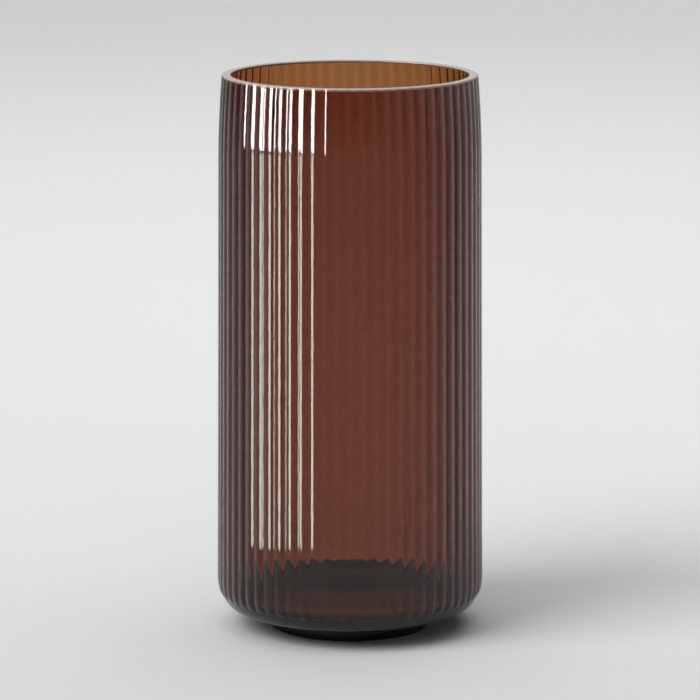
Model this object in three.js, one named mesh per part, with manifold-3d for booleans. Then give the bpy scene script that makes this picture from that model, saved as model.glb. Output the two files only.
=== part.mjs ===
// A tall ribbed glass vase: a blown wall with 63 convex ribs, a ground rim, a heavy dark heel and a foot.
// Millimetres, +Z up. The origin is the centre of the foot, on the plane the vase stands on.
import * as THREE from 'three';
import { mergeVertices } from 'three/addons/utils/BufferGeometryUtils.js';
import Module from 'manifold-3d';

const wasm = await Module();
wasm.setup();

// ---- Driving dimensions ----

// Outside of the wall, measured over the rib crests.
const VASE_HEIGHT = 300;
const HEEL_RADIUS = 72; // where the wall rises out of the heel
const SHOULDER_RADIUS = 70.4; // where the wall starts to draw in
const MOUTH_RADIUS = 68.3; // at the rim
const SHOULDER_LENGTH = 50; // drawn-in stretch, measured down from the rim
const WALL = 4.8; // rib crest to the smooth bore

// Ribs.
const RIB_COUNT = 63;
const RIB_DEPTH = 0.64;
const RIB_FOOT_HEIGHT = 17.7; // where the ribs end above the heel
const RIB_END_LENGTH = 3.5; // rounded lower end of each rib

// Heel: an elliptical corner, then a shallow cone in to the foot.
const HEEL_TOP = 26.6;
const HEEL_BOTTOM = 10.4;
const HEEL_INSET = 9.2;
const HEEL_STEP = 0.6; // the smooth heel stands this far inside the rib crests

// Foot.
const FOOT_RADIUS = 43.4;
const FOOT_HEIGHT = 4.6;
const FOOT_ARRIS = 0.5;
const PONTIL_RADIUS = 30; // ground hollow under the foot
const PONTIL_DEPTH = 1.2;

// Inside.
const FLOOR_HEIGHT = 13.4; // at the middle of the floor
const FLOOR_DISH = 2; // the floor rises by this much from its middle to the inside corner
const CORNER_HEIGHT = 7.6; // inside corner between the wall and the floor
const CORNER_WIDTH = 8;

// Ground rim.
const RIM_HEIGHT = 1.2;
const RIM_ARRIS = 0.4;

// The hairline seam that keeps the fused pieces apart.
const SEAM = 0.3;

// How far a cutting shape runs on past what it cuts.
const OVERRUN = 1;

// ---- Fineness ----

const STEPS_PER_RIB = 4;
const PLAIN_STEPS = 60;
const CORNER_STEPS = 6;
const SHOULDER_STEPS = 4;
const RIB_END_STEPS = 2;
const HOLLOW_STEPS = 4;
const DISH_STEPS = 4;

// ---- Sections of the vase ----

const RIM_BOTTOM = VASE_HEIGHT - RIM_HEIGHT;
const SHOULDER_BOTTOM = VASE_HEIGHT - SHOULDER_LENGTH;

// Outside radius over the rib crests at a height.
function crestRadius(z) {
  const up = THREE.MathUtils.clamp((z - HEEL_TOP) / (SHOULDER_BOTTOM - HEEL_TOP), 0, 1);
  const wall = THREE.MathUtils.lerp(HEEL_RADIUS, SHOULDER_RADIUS, up);
  const drawn = Math.max(0, z - SHOULDER_BOTTOM) / SHOULDER_LENGTH;
  const down = THREE.MathUtils.clamp((HEEL_TOP - z) / (HEEL_TOP - HEEL_BOTTOM), 0, 1);
  return wall - (SHOULDER_RADIUS - MOUTH_RADIUS) * drawn ** 2
    - HEEL_INSET * (1 - Math.sqrt(1 - down ** 2));
}

// Radius of the smooth bore above the inside corner. It runs parallel to the crests.
function boreRadius(z) {
  return crestRadius(Math.max(z, HEEL_TOP)) - WALL;
}

// How much of its depth a rib has at a height: none at its foot, all of it above its rounded end.
function ribShare(z) {
  const run = THREE.MathUtils.clamp((z - RIB_FOOT_HEIGHT) / RIB_END_LENGTH, 0, 1);
  return Math.sqrt(1 - (1 - run) ** 2);
}

// Radius of the ribbed outside at an angle. Each rib is a round arc from groove to groove.
function ribbedRadius(crest, angle, share) {
  const pitch = (2 * Math.PI) / RIB_COUNT;
  const groove = crest - RIB_DEPTH;
  const sagitta = crest - groove * Math.cos(pitch / 2);
  const halfChord = groove * Math.sin(pitch / 2);
  const arc = (sagitta ** 2 + halfChord ** 2) / (2 * sagitta);
  const centre = crest - arc;
  const off = THREE.MathUtils.euclideanModulo(angle, pitch) - pitch / 2;
  const full = centre * Math.cos(off) + Math.sqrt(arc ** 2 - (centre * Math.sin(off)) ** 2);
  return groove + (full - groove) * share;
}

// ---- Solids ----

function toSolid(geometry) {
  geometry.deleteAttribute('normal');
  geometry.deleteAttribute('uv');
  const merged = mergeVertices(geometry);
  const index = Array.from(merged.index.array);
  const triangles = [];
  for (let i = 0; i < index.length; i += 3) {
    const [a, b, c] = index.slice(i, i + 3);
    if (a !== b && b !== c && c !== a) {
      triangles.push(a, b, c);
    }
  }
  return new wasm.Manifold(new wasm.Mesh({
    numProp: 3,
    vertProperties: Float32Array.from(merged.attributes.position.array),
    triVerts: Uint32Array.from(triangles),
  }));
}

// Turns an outline of [radius, height] points, from the lower axis point to the upper one.
function turned(outline, steps) {
  const points = outline.map(([radius, z]) => new THREE.Vector2(radius, z));
  return new THREE.LatheGeometry(points, steps).rotateX(Math.PI / 2);
}

// Turns an outline and presses the ribs into it.
function ribbed(outline) {
  const geometry = turned(outline, RIB_COUNT * STEPS_PER_RIB);
  const position = geometry.attributes.position;
  for (let i = 0; i < position.count; i += 1) {
    const [x, y, z] = [position.getX(i), position.getY(i), position.getZ(i)];
    const crest = Math.hypot(x, y);
    if (crest > RIB_DEPTH) {
      const scale = ribbedRadius(crest, Math.atan2(x, -y), ribShare(z)) / crest;
      position.setXY(i, x * scale, y * scale);
    }
  }
  return toSolid(geometry);
}

// Evenly spaced values from low to high, both included.
function spaced(low, high, steps) {
  return Array.from({ length: steps + 1 }, (_, i) => THREE.MathUtils.lerp(low, high, i / steps));
}

// The space inside the vase, from the floor to just above the rim, with the rim's inner arris.
function makeCavity() {
  const cornerTop = FLOOR_HEIGHT + FLOOR_DISH + CORNER_HEIGHT;
  const cornerCentre = boreRadius(cornerTop) - CORNER_WIDTH;
  const dish = spaced(0, 1, DISH_STEPS).slice(0, -1);
  const corner = new THREE.EllipseCurve(
    cornerCentre, cornerTop, CORNER_WIDTH, CORNER_HEIGHT, -Math.PI / 2, 0,
  );
  const arrisBottom = VASE_HEIGHT - RIM_ARRIS;
  const above = VASE_HEIGHT + OVERRUN;
  const outline = [
    ...dish.map((out) => [cornerCentre * out, FLOOR_HEIGHT + FLOOR_DISH * out ** 2]),
    ...corner.getPoints(CORNER_STEPS).map((point) => [point.x, point.y]),
    ...spaced(SHOULDER_BOTTOM, arrisBottom, SHOULDER_STEPS).map((z) => [boreRadius(z), z]),
    [boreRadius(arrisBottom) + (above - arrisBottom), above],
    [0, above],
  ];
  return toSolid(turned(outline, PLAIN_STEPS));
}

// ---- Pieces ----

const cavity = makeCavity();

// The blown wall. Its lower edge sits on the heavy base and thickens in to the inside corner.
function makeRibbedBody() {
  const top = RIM_BOTTOM - SEAM;
  const levels = [
    ...spaced(RIB_FOOT_HEIGHT, RIB_FOOT_HEIGHT + RIB_END_LENGTH, RIB_END_STEPS),
    ...spaced(HEEL_TOP, SHOULDER_BOTTOM, 1),
    ...spaced(SHOULDER_BOTTOM, top, SHOULDER_STEPS).slice(1),
  ];
  const outline = [
    [0, RIB_FOOT_HEIGHT],
    ...levels.map((z) => [crestRadius(z), z]),
    [0, top],
  ];
  return ribbed(outline).subtract(cavity);
}

// The end of the wall, cut off and ground flat, with a small arris inside and out.
function makeGroundRim() {
  const arrisBottom = VASE_HEIGHT - RIM_ARRIS;
  const outline = [
    [0, RIM_BOTTOM],
    [crestRadius(RIM_BOTTOM), RIM_BOTTOM],
    [crestRadius(arrisBottom), arrisBottom],
    [crestRadius(VASE_HEIGHT) - RIM_ARRIS, VASE_HEIGHT],
    [0, VASE_HEIGHT],
  ];
  return ribbed(outline).subtract(cavity);
}

// The solid glass under the wall: smooth rounded heel, and the floor of the vase on top.
function makeHeavyBase() {
  const top = RIB_FOOT_HEIGHT - SEAM;
  const outline = [
    [0, FOOT_HEIGHT],
    [FOOT_RADIUS, FOOT_HEIGHT],
    ...spaced(HEEL_BOTTOM, top, CORNER_STEPS).map((z) => [crestRadius(z) - HEEL_STEP, z]),
    [0, top],
  ];
  return toSolid(turned(outline, PLAIN_STEPS)).subtract(cavity);
}

// The foot, with a flat ground edge to stand on and the shallow ground pontil hollow inside it.
function makeFootDisc() {
  const top = FOOT_HEIGHT - SEAM;
  const outline = [
    ...spaced(0, 1, HOLLOW_STEPS).map((out) => [PONTIL_RADIUS * out, PONTIL_DEPTH * (1 - out ** 2)]),
    [FOOT_RADIUS - FOOT_ARRIS, 0],
    [FOOT_RADIUS, FOOT_ARRIS],
    [FOOT_RADIUS, top],
    [0, top],
  ];
  return toSolid(turned(outline, PLAIN_STEPS));
}

// ---- Scene graph ----

const AMBER_BROWN = { color: 0x5c2d23, roughness: 0.04, metalness: 0, transparent: true, opacity: 0.8 };
const GROUND_GLASS = { color: 0xb1b7b2, roughness: 0.3, metalness: 0, transparent: true, opacity: 0.85 };
const DARK_GLASS = { color: 0x141516, roughness: 0.06, metalness: 0 };

function makeMesh(name, solid, look) {
  const { vertProperties, triVerts } = solid.getMesh();
  const geometry = new THREE.BufferGeometry();
  geometry.setAttribute('position', new THREE.BufferAttribute(vertProperties, 3));
  geometry.setIndex(new THREE.BufferAttribute(triVerts, 1));
  geometry.computeVertexNormals();
  const mesh = new THREE.Mesh(geometry, new THREE.MeshStandardMaterial(look));
  mesh.name = name;
  return mesh;
}

const vase = new THREE.Group();
vase.name = 'vase';
vase.add(
  makeMesh('foot_disc', makeFootDisc(), DARK_GLASS),
  makeMesh('heavy_base', makeHeavyBase(), DARK_GLASS),
  makeMesh('ribbed_body', makeRibbedBody(), AMBER_BROWN),
  makeMesh('ground_rim', makeGroundRim(), GROUND_GLASS),
);

export default vase;
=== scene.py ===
# A ribbed amber-brown glass vase: finished wall, rim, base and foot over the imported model.
import math
import bpy
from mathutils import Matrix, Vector


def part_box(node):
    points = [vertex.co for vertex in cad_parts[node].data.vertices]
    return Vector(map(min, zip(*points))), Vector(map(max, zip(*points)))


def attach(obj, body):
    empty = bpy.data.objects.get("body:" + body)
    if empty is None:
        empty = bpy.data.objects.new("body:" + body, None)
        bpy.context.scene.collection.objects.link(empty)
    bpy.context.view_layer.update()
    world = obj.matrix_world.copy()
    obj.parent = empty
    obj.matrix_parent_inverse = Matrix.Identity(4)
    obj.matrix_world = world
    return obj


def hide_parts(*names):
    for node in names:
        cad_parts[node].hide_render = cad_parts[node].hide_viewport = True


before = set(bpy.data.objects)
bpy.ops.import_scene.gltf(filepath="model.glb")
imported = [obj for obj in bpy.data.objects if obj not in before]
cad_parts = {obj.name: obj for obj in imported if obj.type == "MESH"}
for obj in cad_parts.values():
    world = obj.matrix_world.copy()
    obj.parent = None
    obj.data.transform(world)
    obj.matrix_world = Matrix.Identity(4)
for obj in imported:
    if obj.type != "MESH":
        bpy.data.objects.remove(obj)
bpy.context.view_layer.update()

# ---------------------------------------------------------------- driving sizes, in metres

MM = 0.001
FOOT_LOW, FOOT_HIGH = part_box("foot_disc")
BASE_LOW, BASE_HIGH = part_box("heavy_base")
BODY_LOW, BODY_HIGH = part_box("ribbed_body")
RIM_LOW, RIM_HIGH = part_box("ground_rim")

VASE_HEIGHT = RIM_HIGH[2]
RIB_FOOT = BODY_LOW[2]  # where the ribs end above the heel
FOOT_HEIGHT = BASE_LOW[2]
FOOT_RADIUS = FOOT_HIGH[0]
JOIN = 0.02 * MM  # hairline between two fused pieces

# Outside of the wall over the rib crests, as the model has it.
HEEL_RADIUS = 72 * MM
SHOULDER_RADIUS = 70.4 * MM
MOUTH_RADIUS = 68.3 * MM
SHOULDER_LENGTH = 50 * MM
WALL = 4.8 * MM
HEEL_TOP = 26.6 * MM
HEEL_BOTTOM = 10.4 * MM
HEEL_INSET = 9.2 * MM
SHOULDER_BOTTOM = VASE_HEIGHT - SHOULDER_LENGTH

# Ribs: round crests, straight flanks, softly rounded grooves.
RIB_COUNT = 63
RIB_PITCH = 2 * math.pi / RIB_COUNT
RIB_STEPS = 16
CREST_ROUND = 7.2 * MM
FLANK_ANGLE = math.radians(22.3)
RIB_END = 3.5 * MM

# Inside.
FLOOR = 13.4 * MM
FLOOR_DISH = 2 * MM
CORNER_HEIGHT = 7.6 * MM
CORNER_WIDTH = 8 * MM

# Rim and foot.
RIM_ROUND = 0.4 * MM
FOOT_ROUND = 0.5 * MM
PONTIL_RADIUS = 30 * MM
PONTIL_DEPTH = 1.2 * MM

CENTRE = (0, 0, 0)
UP = (0, 0, 1)


# ---------------------------------------------------------------- the vase's own curves


def crest_radius(z):
    """Outside radius over the rib crests at a height."""
    rise = min(max((z - HEEL_TOP) / (SHOULDER_BOTTOM - HEEL_TOP), 0), 1)
    wall = HEEL_RADIUS + (SHOULDER_RADIUS - HEEL_RADIUS) * rise
    drawn = max(0, z - SHOULDER_BOTTOM) / SHOULDER_LENGTH
    fall = min(max((HEEL_TOP - z) / (HEEL_TOP - HEEL_BOTTOM), 0), 1)
    heel = HEEL_INSET * (1 - math.sqrt(1 - fall**2))
    return wall - (SHOULDER_RADIUS - MOUTH_RADIUS) * drawn**2 - heel


def bore_radius(z):
    """Radius of the smooth bore above the inside corner."""
    return crest_radius(max(z, HEEL_TOP)) - WALL


def rib_drop(turn):
    """How far the ribbed surface lies inside the crest circle, at an angle from a rib's middle."""
    radius = HEEL_RADIUS
    flank_x = CREST_ROUND * math.sin(FLANK_ANGLE)
    half_chord = radius * math.sin(RIB_PITCH / 2)
    groove_round = (half_chord - flank_x) / (math.sin(FLANK_ANGLE) - math.sin(RIB_PITCH / 2))
    flank_y = radius - CREST_ROUND * (1 - math.cos(FLANK_ANGLE))
    groove_x = flank_x + groove_round * math.sin(FLANK_ANGLE)
    groove_y = flank_y + groove_round * math.cos(FLANK_ANGLE)
    x = radius * math.sin(abs(turn))
    if x < flank_x:
        y = radius - CREST_ROUND + math.sqrt(CREST_ROUND**2 - x**2)
    else:
        y = groove_y - math.sqrt(groove_round**2 - (x - groove_x) ** 2)
    return radius - math.hypot(x, y)


GROOVE_DEPTH = rib_drop(RIB_PITCH / 2)


def rib_share(z):
    """How much of its depth a rib has at a height: none at its foot, all above its rounded end."""
    run = min(max((z - RIB_FOOT) / RIB_END, 0), 1)
    return math.sqrt(1 - (1 - run) ** 2)


def spaced(low, high, steps):
    """Evenly spaced values from low to high, both included."""
    return [low + (high - low) * i / steps for i in range(steps + 1)]


def quarter(centre, radius_x, radius_z, start, steps):
    """Points of a quarter ellipse, counter-clockwise from the start angle in degrees."""
    turns = [math.radians(start + 90 * i / steps) for i in range(steps + 1)]
    return [(centre[0] + radius_x * math.cos(t), centre[1] + radius_z * math.sin(t)) for t in turns]


# ---------------------------------------------------------------- modelling steps


def select_where(obj, test):
    """In edit mode, selects the vertices whose place passes the test, and returns how many."""
    bpy.ops.mesh.select_all(action="DESELECT")
    bpy.ops.object.mode_set(mode="OBJECT")
    count = 0
    for vertex in obj.data.vertices:
        vertex.select = test(vertex.co)
        count += vertex.select
    bpy.ops.object.mode_set(mode="EDIT")
    return count


def draw_outline(name, outline):
    """Draws an outline of (radius, height) points at the vase's front, by extruding one vertex."""
    bpy.ops.object.select_all(action="DESELECT")
    bpy.ops.mesh.primitive_plane_add(size=MM, location=CENTRE)
    piece = bpy.context.object
    piece.name = piece.data.name = name
    bpy.ops.object.mode_set(mode="EDIT")
    bpy.ops.mesh.select_mode(type="VERT")
    bpy.ops.mesh.select_all(action="SELECT")
    bpy.ops.mesh.merge(type="CENTER")
    out, up = outline[0]
    bpy.ops.transform.translate(value=(0, -out, up))
    for next_out, next_up in outline[1:]:
        step = {"value": (0, out - next_out, next_up - up)}
        bpy.ops.mesh.extrude_vertices_move(TRANSFORM_OT_translate=step)
        out, up = next_out, next_up
    return piece


def turn_round(steps, angle=2 * math.pi, copies=False):
    """Spins what is drawn round the vase's axis, as a surface or as copies."""
    bpy.ops.mesh.select_all(action="SELECT")
    bpy.ops.mesh.spin(steps=steps, dupli=copies, angle=angle, center=CENTRE, axis=UP)
    bpy.ops.mesh.select_all(action="SELECT")
    bpy.ops.mesh.remove_doubles(threshold=0.002 * MM)


def close_up(piece, replaced, crisp=40):
    """Turns the faces outwards, shades the piece and hangs it on the model."""
    bpy.ops.mesh.select_all(action="SELECT")
    bpy.ops.mesh.normals_make_consistent(inside=False)
    bpy.ops.mesh.select_all(action="DESELECT")
    bpy.ops.object.mode_set(mode="OBJECT")
    bpy.ops.object.shade_smooth_by_angle(angle=math.radians(crisp))
    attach(piece, "root")
    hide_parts(replaced)


def press_ribs(piece):
    """Presses one rib into the outside of a spun sector, then lays the ribs round the axis."""
    run_out = {round(v.co.z, 6) for v in piece_vertices(piece) if v.co.z < RIB_FOOT + RIB_END - JOIN}
    for column in range(RIB_STEPS // 2 + 1):
        off_crest = RIB_PITCH * column / RIB_STEPS
        drop = rib_drop(off_crest)
        for z in sorted(run_out):
            eased = GROOVE_DEPTH + (drop - GROOVE_DEPTH) * rib_share(z)
            sink_columns(piece, off_crest, eased, lambda height: abs(height - z) < JOIN)
        sink_columns(piece, off_crest, drop, lambda height: height > RIB_FOOT + RIB_END - JOIN)
    turn_round(RIB_COUNT - 1, RIB_PITCH * (RIB_COUNT - 1), copies=True)


def piece_vertices(piece):
    """The vertices of a piece in edit mode, as they are now."""
    bpy.ops.object.mode_set(mode="OBJECT")
    bpy.ops.object.mode_set(mode="EDIT")
    return piece.data.vertices


def sink_columns(piece, off_crest, drop, at_height):
    """Draws the two columns at that angle from the rib's middle in towards the axis."""

    def on_column(place):
        outside = math.hypot(place.x, place.y) > crest_radius(place.z) - WALL / 2
        off = abs(abs(math.atan2(place.x, -place.y)) - RIB_PITCH / 2)
        return outside and abs(off - off_crest) < RIB_PITCH / RIB_STEPS / 4 and at_height(place.z)

    if select_where(piece, on_column):
        scale = 1 - drop / HEEL_RADIUS
        bpy.ops.transform.resize(value=(scale, scale, 1), center_override=CENTRE)


# ---------------------------------------------------------------- materials


def new_material(name):
    """A material with a Principled shader, and its nodes."""
    material = bpy.data.materials.new(name)
    material.use_nodes = True
    nodes = material.node_tree.nodes
    return material, nodes, material.node_tree.links, nodes["Principled BSDF"]


def add_noise(nodes, links, size, stretch=(1, 1, 1), detail=2.0):
    """Noise on the piece's own coordinates, about one blob per size, stretched along the axes."""
    place = nodes.new("ShaderNodeTexCoord")
    scale = nodes.new("ShaderNodeMapping")
    scale.inputs["Scale"].default_value = [1 / s for s in stretch]
    noise = nodes.new("ShaderNodeTexNoise")
    noise.inputs["Scale"].default_value = 1 / size
    noise.inputs["Detail"].default_value = detail
    links.new(place.outputs["Object"], scale.inputs["Vector"])
    links.new(scale.outputs["Vector"], noise.inputs["Vector"])
    return noise.outputs["Fac"]


def remap(nodes, links, value, low, high):
    """The value's 0 to 1 stretched to low to high."""
    spread = nodes.new("ShaderNodeMapRange")
    spread.inputs["From Min"].default_value = 0.3
    spread.inputs["From Max"].default_value = 0.7
    spread.inputs["To Min"].default_value = low
    spread.inputs["To Max"].default_value = high
    links.new(value, spread.inputs["Value"])
    return spread.outputs["Result"]


def mix_colours(nodes, links, value, one, other):
    """Blends from one colour to the other as the value rises."""
    ramp = nodes.new("ShaderNodeValToRGB")
    ramp.color_ramp.elements[0].position = 0.3
    ramp.color_ramp.elements[0].color = (*one, 1)
    ramp.color_ramp.elements[1].position = 0.7
    ramp.color_ramp.elements[1].color = (*other, 1)
    links.new(value, ramp.inputs["Fac"])
    return ramp.outputs["Color"]


def add_bump(nodes, links, shader, height, distance):
    """Raises the surface by up to the distance where the height is 1."""
    bump = nodes.new("ShaderNodeBump")
    bump.inputs["Distance"].default_value = distance
    bump.inputs["Strength"].default_value = 1
    links.new(height, bump.inputs["Height"])
    links.new(bump.outputs["Normal"], shader.inputs["Normal"])


GLASS_IOR = 1.5

# Share of red, green and blue light that one wall of the vase lets through.
WALL_LETS_THROUGH = (0.37, 0.148, 0.058)


def absorb(nodes, links, lets_through, depth):
    """Glass coloured all through: that share of light is left after that depth."""
    loss = [-math.log(share) / depth for share in lets_through]
    density = max(loss) * 1.05
    tint = nodes.new("ShaderNodeVolumeAbsorption")
    tint.inputs["Color"].default_value = (*[1 - each / density for each in loss], 1)
    tint.inputs["Density"].default_value = density
    links.new(tint.outputs["Volume"], nodes["Material Output"].inputs["Volume"])


def amber_brown_glass():
    """Clear amber-brown glass with faint cords and the slight waves of blown glass."""
    material, nodes, links, shader = new_material("amber_brown_glass")
    shader.inputs["Transmission Weight"].default_value = 1
    shader.inputs["IOR"].default_value = GLASS_IOR
    cords = add_noise(nodes, links, 9 * MM, stretch=(1, 1, 12))
    colour = mix_colours(nodes, links, cords, (1.0, 0.985, 0.97), (0.96, 0.93, 0.90))
    links.new(colour, shader.inputs["Base Color"])
    haze = add_noise(nodes, links, 25 * MM, detail=4)
    links.new(remap(nodes, links, haze, 0.0, 0.006), shader.inputs["Roughness"])
    waves = add_noise(nodes, links, 14 * MM, stretch=(1, 1, 20), detail=1)
    add_bump(nodes, links, shader, waves, 0.002 * MM)
    absorb(nodes, links, WALL_LETS_THROUGH, WALL)
    return material


def fused_seam():
    """Where the wall runs into the dark base: no light comes back."""
    material, nodes, links, shader = new_material("fused_seam")
    grain = add_noise(nodes, links, 5 * MM)
    colour = mix_colours(nodes, links, grain, (0.004, 0.003, 0.003), (0.008, 0.005, 0.004))
    links.new(colour, shader.inputs["Base Color"])
    shader.inputs["Roughness"].default_value = 0.6
    return material


def ground_edge_and_painted_glow():
    """Cut glass edge, ground and lightly polished, with faint grinding marks; its pale warm tone is partly
    the ground finish and partly painted light: a painted glow of light coming up through the amber wall
    and a painted reflection of the bright room.
    """
    material, nodes, links, shader = new_material("ground_edge_and_painted_glow")
    shader.inputs["IOR"].default_value = GLASS_IOR
    marks = add_noise(nodes, links, 0.6 * MM, detail=3)
    # Painted light: this pale warm tone stands partly for the frosted ground finish, and partly for light
    # coming up through the amber wall and for the bright room reflected in the top.
    colour = mix_colours(nodes, links, marks, (0.46, 0.40, 0.34), (0.62, 0.56, 0.50))
    links.new(colour, shader.inputs["Base Color"])
    links.new(remap(nodes, links, marks, 0.12, 0.3), shader.inputs["Roughness"])
    add_bump(nodes, links, shader, marks, 0.01 * MM)
    return material


def dark_glass(name, dark, light):
    """The same glass where it is too thick to see through: near black and fire-polished."""
    material, nodes, links, shader = new_material(name)
    shader.inputs["IOR"].default_value = GLASS_IOR
    clouds = add_noise(nodes, links, 12 * MM, detail=3)
    links.new(mix_colours(nodes, links, clouds, dark, light), shader.inputs["Base Color"])
    links.new(remap(nodes, links, clouds, 0.0, 0.02), shader.inputs["Roughness"])
    waves = add_noise(nodes, links, 20 * MM, detail=1)
    add_bump(nodes, links, shader, waves, 0.015 * MM)
    return material


# ---------------------------------------------------------------- pieces


def corner_radius(z):
    """Radius of the inside corner between the wall and the floor, at a height within it."""
    rise = min((CORNER_TOP - z) / CORNER_HEIGHT, 1)
    return CORNER_CENTRE + CORNER_WIDTH * math.sqrt(1 - rise**2)


CORNER_TOP = FLOOR + FLOOR_DISH + CORNER_HEIGHT
CORNER_CENTRE = bore_radius(CORNER_TOP) - CORNER_WIDTH


def make_wall():
    """The blown wall: ribbed outside, smooth bore, thick in the corner over the base."""
    top = RIM_LOW[2] - JOIN
    ends = [RIB_FOOT + RIB_END * (1 - math.cos(math.radians(turn))) for turn in spaced(0, 90, 8)]
    heel = spaced(RIB_FOOT + RIB_END, HEEL_TOP, 5)[1:]
    wall = spaced(HEEL_TOP, SHOULDER_BOTTOM, 8)[1:]
    shoulder = spaced(SHOULDER_BOTTOM, top, 12)[1:]
    outside = [(crest_radius(z), z) for z in ends + heel + wall + shoulder]
    bore_heights = spaced(CORNER_TOP, SHOULDER_BOTTOM, 6) + spaced(SHOULDER_BOTTOM, top, 8)[1:]
    bore = [(bore_radius(z), z) for z in reversed(bore_heights)]
    corner = [(corner_radius(z), z) for z in spaced(CORNER_TOP, RIB_FOOT, 14)[1:]]
    wall = draw_outline("wall", outside + bore + corner + outside[:1])
    turn_round(RIB_STEPS, RIB_PITCH)
    press_ribs(wall)
    wall.data.materials.append(amber_brown_glass())
    wall.data.materials.append(fused_seam())
    select_faces(wall, lambda centre: abs(centre.z - RIB_FOOT) < JOIN)
    wall.active_material_index = 1
    bpy.ops.object.material_slot_assign()
    close_up(wall, "ribbed_body")


def select_faces(piece, test):
    """In edit mode, selects the faces whose centre passes the test."""
    bpy.ops.mesh.select_mode(type="FACE")
    bpy.ops.mesh.select_all(action="DESELECT")
    bpy.ops.object.mode_set(mode="OBJECT")
    for face in piece.data.polygons:
        face.select = test(face.center)
    bpy.ops.object.mode_set(mode="EDIT")


def make_rim():
    """The cut end of the wall: glass sides, a ground and lightly polished top in a pale tone that is
    partly painted light, both edges eased.
    """
    low = RIM_LOW[2]
    edge = VASE_HEIGHT - RIM_ROUND
    outer = quarter((crest_radius(edge) - RIM_ROUND, edge), RIM_ROUND, RIM_ROUND, 0, 4)
    inner = quarter((bore_radius(edge) + RIM_ROUND, edge), RIM_ROUND, RIM_ROUND, 90, 4)
    outline = [(crest_radius(low), low), *outer, *inner, (bore_radius(low), low)]
    rim = draw_outline("rim", outline + outline[:1])
    turn_round(RIB_STEPS, RIB_PITCH)
    press_ribs(rim)
    rim.data.materials.append(bpy.data.materials["amber_brown_glass"])
    rim.data.materials.append(ground_edge_and_painted_glow())
    # The top faces get the opaque ground finish, whose pale tone is partly a painted glow and a painted
    # reflection.
    select_faces(rim, lambda centre: centre.z > edge)
    rim.active_material_index = 1
    bpy.ops.object.material_slot_assign()
    close_up(rim, "ground_rim")


def make_base():
    """The heavy dark base: a shallow cone out from the foot, the rounded heel, and the floor."""
    top = RIB_FOOT - JOIN
    heel = [(crest_radius(z) - GROOVE_DEPTH, z) for z in spaced(HEEL_BOTTOM, top, 14)]
    corner = [(corner_radius(z), z) for z in spaced(top, FLOOR + FLOOR_DISH, 8)]
    floor = [(CORNER_CENTRE * out, FLOOR + FLOOR_DISH * out**2) for out in spaced(1, 0, 12)[1:]]
    outline = [(0, FOOT_HEIGHT), (FOOT_RADIUS, FOOT_HEIGHT), *heel, *corner, *floor]
    base = draw_outline("base", outline)
    turn_round(240)
    base.data.materials.append(dark_glass("dark_glass_base", (0.004, 0.004, 0.005), (0.008, 0.008, 0.009)))
    close_up(base, "heavy_base")


def make_foot():
    """The foot: rounded edge, flat ground ring to stand on, shallow ground hollow inside it."""
    top = FOOT_HEIGHT - JOIN
    hollow = [
        (PONTIL_RADIUS * out, PONTIL_DEPTH * (1 - out**2)) for out in spaced(0, 1, 12)
    ]
    edge = quarter((FOOT_RADIUS - FOOT_ROUND, FOOT_ROUND), FOOT_ROUND, FOOT_ROUND, -90, 5)
    foot = draw_outline("foot", [*hollow, *edge, (FOOT_RADIUS, top), (0, top)])
    turn_round(240)
    foot.data.materials.append(dark_glass("dark_glass_foot", (0.008, 0.009, 0.011), (0.012, 0.013, 0.015)))
    close_up(foot, "foot_disc")


make_wall()
make_rim()
make_base()
make_foot()

# ---------------------------------------------------------------- stage, lights and camera

ROOM_RADIUS = 4.5
ROOM_HEIGHT = 1.3
COVE = 1.0
PAPER = 0.82


def studio_paper():
    """Seamless studio paper: pale, matt, one tone all over, with a faint grain."""
    material, nodes, links, shader = new_material("pale_paper")
    grain = add_noise(nodes, links, 2 * MM)
    colour = mix_colours(nodes, links, grain, [PAPER * 0.99] * 3, [PAPER * 1.01] * 3)
    links.new(colour, shader.inputs["Base Color"])
    shader.inputs["Roughness"].default_value = 0.9
    shader.inputs["Specular IOR Level"].default_value = 0.0
    return material


def make_room():
    """A plain round floor with a far surround that rises from it in a wide cove."""
    cove = quarter((ROOM_RADIUS - COVE, COVE), COVE, COVE, -90, 24)
    room = draw_outline("pale_room", [(0, 0), *cove, (ROOM_RADIUS, ROOM_HEIGHT)])
    turn_round(96)
    bpy.ops.mesh.normals_make_consistent(inside=True)
    bpy.ops.object.mode_set(mode="OBJECT")
    bpy.ops.object.shade_smooth()
    room.visible_shadow = False
    room.data.materials.append(studio_paper())


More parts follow.
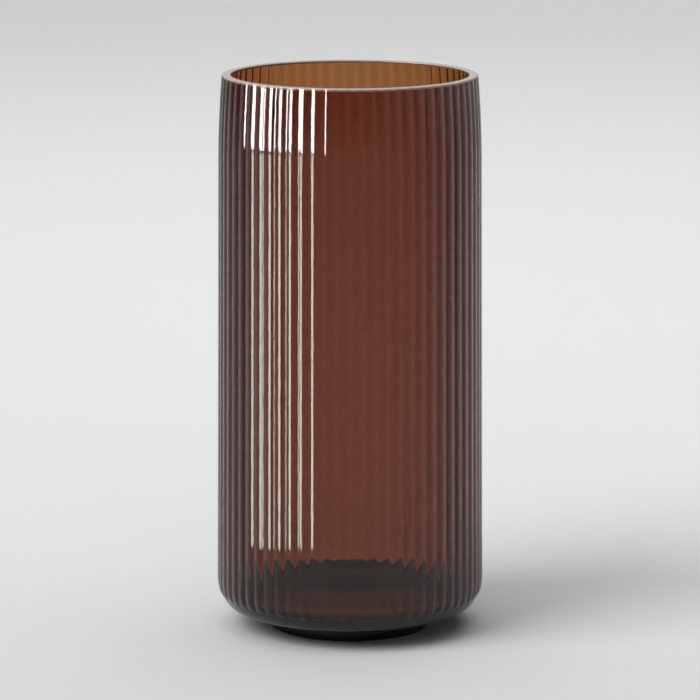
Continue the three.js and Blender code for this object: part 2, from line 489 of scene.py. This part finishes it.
def add_card(name, turn, distance, low, high, width, colour, strength, fade):
    """A soft box seen only in the gloss: a glowing card, turned left of the front, with soft edges.

    fade is how far in the glow takes to reach full strength, from the sides and from the ends.
    """
    bpy.ops.object.select_all(action="DESELECT")
    bpy.ops.mesh.primitive_plane_add(size=1, location=CENTRE)
    card = bpy.context.object
    card.name = name
    turn = math.radians(turn)
    tall = high - low
    card.scale = (width, tall, 1)
    card.rotation_euler = (math.pi / 2, 0, -turn)
    card.location = (-math.sin(turn) * distance, -math.cos(turn) * distance, (low + high) / 2)
    material = bpy.data.materials.new(name)
    material.use_nodes = True
    nodes = material.node_tree.nodes
    links = material.node_tree.links
    nodes.remove(nodes["Principled BSDF"])
    glow = nodes.new("ShaderNodeEmission")
    glow.inputs["Color"].default_value = (*colour, 1)
    place = nodes.new("ShaderNodeTexCoord")
    apart = nodes.new("ShaderNodeSeparateXYZ")
    links.new(place.outputs["Object"], apart.inputs["Vector"])
    fades = []
    for axis, size in (("X", width), ("Y", tall)):
        away = nodes.new("ShaderNodeMath")
        away.operation = "ABSOLUTE"
        links.new(apart.outputs[axis], away.inputs[0])
        edge = nodes.new("ShaderNodeMapRange")
        edge.interpolation_type = "SMOOTHSTEP"
        edge.inputs["From Min"].default_value = 0.5
        edge.inputs["From Max"].default_value = 0.5 - fade[len(fades)] / size
        links.new(away.outputs[0], edge.inputs["Value"])
        fades.append(edge.outputs["Result"])
    both = nodes.new("ShaderNodeMath")
    both.operation = "MULTIPLY"
    links.new(fades[0], both.inputs[0])
    links.new(fades[1], both.inputs[1])
    power = nodes.new("ShaderNodeMath")
    power.operation = "MULTIPLY"
    power.inputs[1].default_value = strength
    links.new(both.outputs[0], power.inputs[0])
    links.new(power.outputs[0], glow.inputs["Strength"])
    links.new(glow.outputs["Emission"], nodes["Material Output"].inputs["Surface"])
    card.data.materials.append(material)
    card.visible_camera = False
    card.visible_diffuse = False
    card.visible_transmission = False
    card.visible_shadow = False


def add_sun(name, turn, rise, softness, strength):
    """A soft even light from far off, that gives no reflection of its own."""
    turn = math.radians(turn)
    rise = math.radians(rise)
    away = Vector((-math.sin(turn) * math.cos(rise), -math.cos(turn) * math.cos(rise), math.sin(rise)))
    bpy.ops.object.light_add(type="SUN", location=away * 3)
    sun = bpy.context.object
    sun.name = sun.data.name = name
    sun.data.angle = math.radians(softness)
    sun.data.energy = strength
    sun.rotation_euler = (-away).to_track_quat("-Z", "Y").to_euler()
    sun.visible_glossy = False
    sun.visible_transmission = False


def add_overhead(name, behind, height, wide, deep, power):
    """A big soft panel facing down, over the floor behind the vase."""
    bpy.ops.object.light_add(type="AREA", location=(0, behind, height))
    panel = bpy.context.object
    panel.name = panel.data.name = name
    panel.data.shape = "RECTANGLE"
    panel.data.size = wide
    panel.data.size_y = deep
    panel.data.energy = power
    panel.visible_glossy = False
    panel.visible_transmission = False


make_room()

# Two soft boxes on the left: a low narrow one close by, and a tall window further off.
add_card(
    "low_strip",
    turn=55.8,
    distance=0.27,
    low=0.006,
    high=0.247,
    width=0.085,
    colour=(0.93, 1.0, 0.86),
    strength=12,
    fade=(0.004, 0.004),
)
add_card(
    "window",
    turn=62.4,
    distance=1.0,
    low=0.17,
    high=1.1,
    width=0.60,
    colour=(1.0, 0.98, 0.95),
    strength=30,
    fade=(0.15, 0.02),
)
add_sun("key", turn=56, rise=42, softness=42, strength=1.75)
add_sun("fill", turn=0, rise=45, softness=50, strength=0.35)
add_overhead("overhead", behind=0.9, height=1.9, wide=2.6, deep=3.0, power=30)

world = bpy.data.worlds.new("dim_studio")
bpy.context.scene.world = world
world.use_nodes = True
world.node_tree.nodes["Background"].inputs["Color"].default_value = (0.95, 0.97, 1.0, 1)
world.node_tree.nodes["Background"].inputs["Strength"].default_value = 0.02

CAMERA_DISTANCE = 2.2
CAMERA_ELEVATION = math.radians(10.6)
LOOK_AT = Vector((0, 0, 0.502 * VASE_HEIGHT))

bpy.ops.object.camera_add(
    location=LOOK_AT
    + CAMERA_DISTANCE * Vector((0, -math.cos(CAMERA_ELEVATION), math.sin(CAMERA_ELEVATION)))
)
camera = bpy.context.object
camera.rotation_euler = (math.pi / 2 - CAMERA_ELEVATION, 0, 0)
camera.data.lens = 210
camera.data.sensor_width = 36
bpy.context.scene.camera = camera

scene = bpy.context.scene
scene.view_settings.view_transform = "Standard"
scene.cycles.max_bounces = 32
scene.cycles.transmission_bounces = 32
scene.cycles.glossy_bounces = 16
scene.cycles.caustics_reflective = False
scene.cycles.caustics_refractive = False
